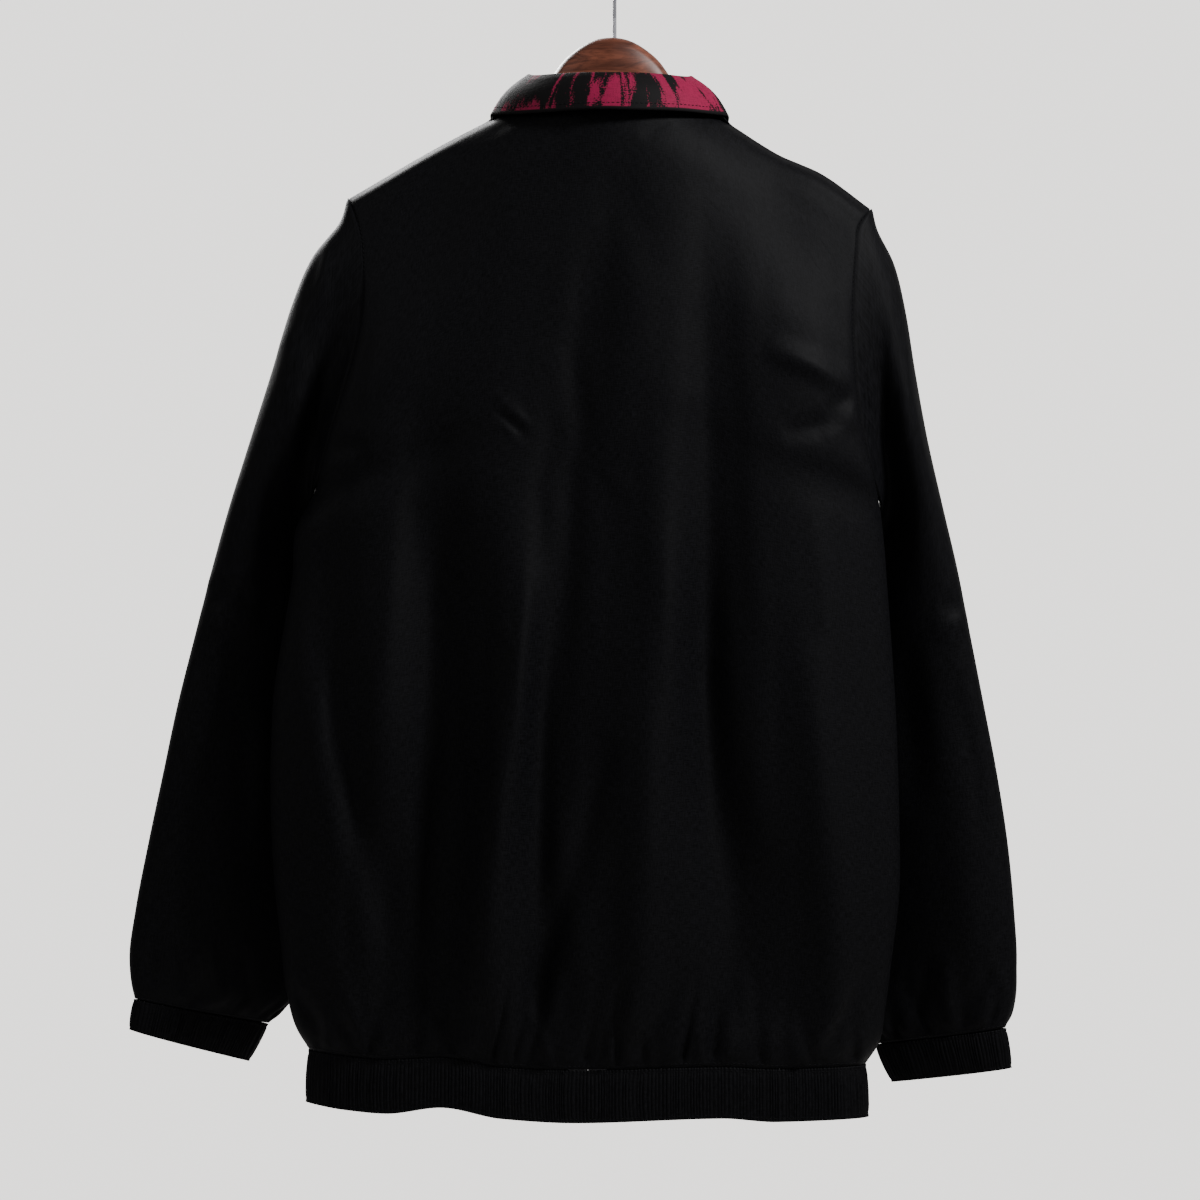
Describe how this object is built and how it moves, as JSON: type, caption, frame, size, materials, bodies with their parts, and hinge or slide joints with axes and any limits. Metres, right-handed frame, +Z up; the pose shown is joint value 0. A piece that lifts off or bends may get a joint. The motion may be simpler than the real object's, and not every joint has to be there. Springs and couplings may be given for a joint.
{
  "type": "windbreaker on a wooden hanger",
  "caption": "Light hip-length windbreaker with a fold-over collar, gathered hem band and gathered cuffs, hung on a contoured wooden hanger with a wire hook.",
  "frame": {"origin": "top of the hook's inside, where it rests on a rail", "axes": "+Z up, the garment's front faces -Y, its left sleeve is at +X"},
  "size_m": [0.6723, 0.1631, 0.8879],
  "materials": {
    "cloth": "matte black woven shell with a soft low sheen",
    "band": "matte black gathered shell over elastic",
    "collar_print": "crimson streaks printed on black",
    "zip": "black woven tape with coil teeth",
    "zip_metal": "black enamelled",
    "wood": "dark walnut stain, satin varnish",
    "wire": "dark nickel wire"
  },
  "bodies": {
    "jacket": {"back_panel": "cloth", "front_left": "cloth", "front_right": "cloth", "sleeve_left": "cloth", "sleeve_right": "cloth", "collar": "collar_print", "hem_band": "band", "cuff_left": "band", "cuff_right": "band", "zip_tape_left": "zip", "zip_tape_right": "zip", "zip_chain": "zip", "zip_slider": "zip_metal", "hanger_wood": "wood", "hanger_hook": "wire"},
    "pull_tab": {"zip_pull_tab": "zip_metal"}
  },
  "joints": [
    {"name": "pull_tab_hinge", "type": "hinge", "parent": "jacket", "child": "pull_tab", "pos_m": [0.00406, -0.05564, -0.204], "axis": [-1, 0, 0], "range_deg": [0, 160]}
  ]
}
